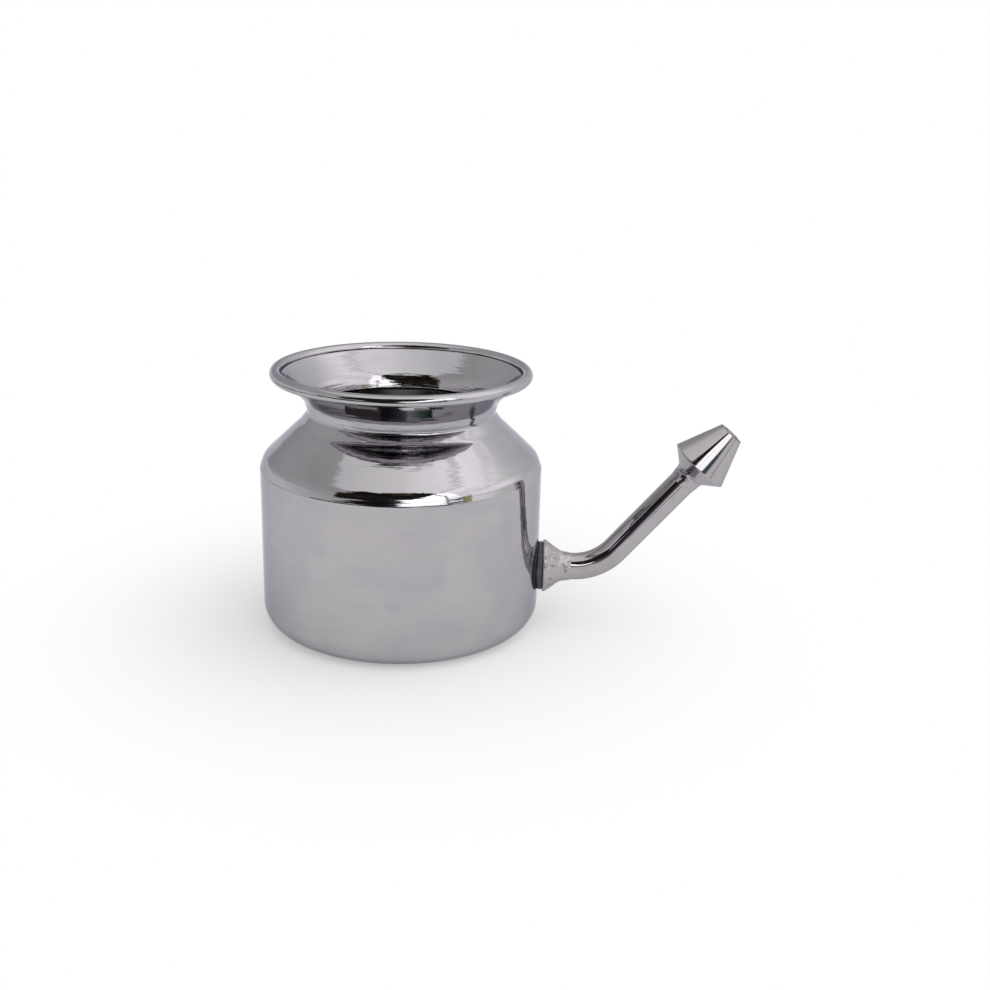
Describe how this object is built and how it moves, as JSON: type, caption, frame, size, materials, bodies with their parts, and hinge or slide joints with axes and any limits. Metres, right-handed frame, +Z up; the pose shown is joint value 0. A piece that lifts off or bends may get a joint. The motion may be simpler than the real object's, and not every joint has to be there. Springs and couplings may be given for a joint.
{
  "type": "neti pot",
  "caption": "Small pot for nasal rinsing: spun steel body with a shoulder, narrow neck and flared rolled mouth, and a bent spout screwed through its wall that ends in a double-cone nozzle.",
  "frame": {"origin": "centre of the pot's flat base, on the surface that it stands on", "axes": "+Z up along the pot's axis, +X out through the wall along the level part of the spout"},
  "size_m": [0.1616, 0.095, 0.0889],
  "materials": {
    "spun_steel": "polished, with fine marks from spinning",
    "spout_steel": "polished",
    "flange_steel": "cast, roughly polished",
    "nut_steel": "satin",
    "washer_rubber": "matt"
  },
  "bodies": {
    "root": {"pot": "spun_steel", "outer_washer": "washer_rubber", "inner_washer": "washer_rubber", "spout_flange": "flange_steel", "lock_nut": "nut_steel", "spout_tube": "spout_steel", "nozzle": "spout_steel"}
  },
  "joints": []
}
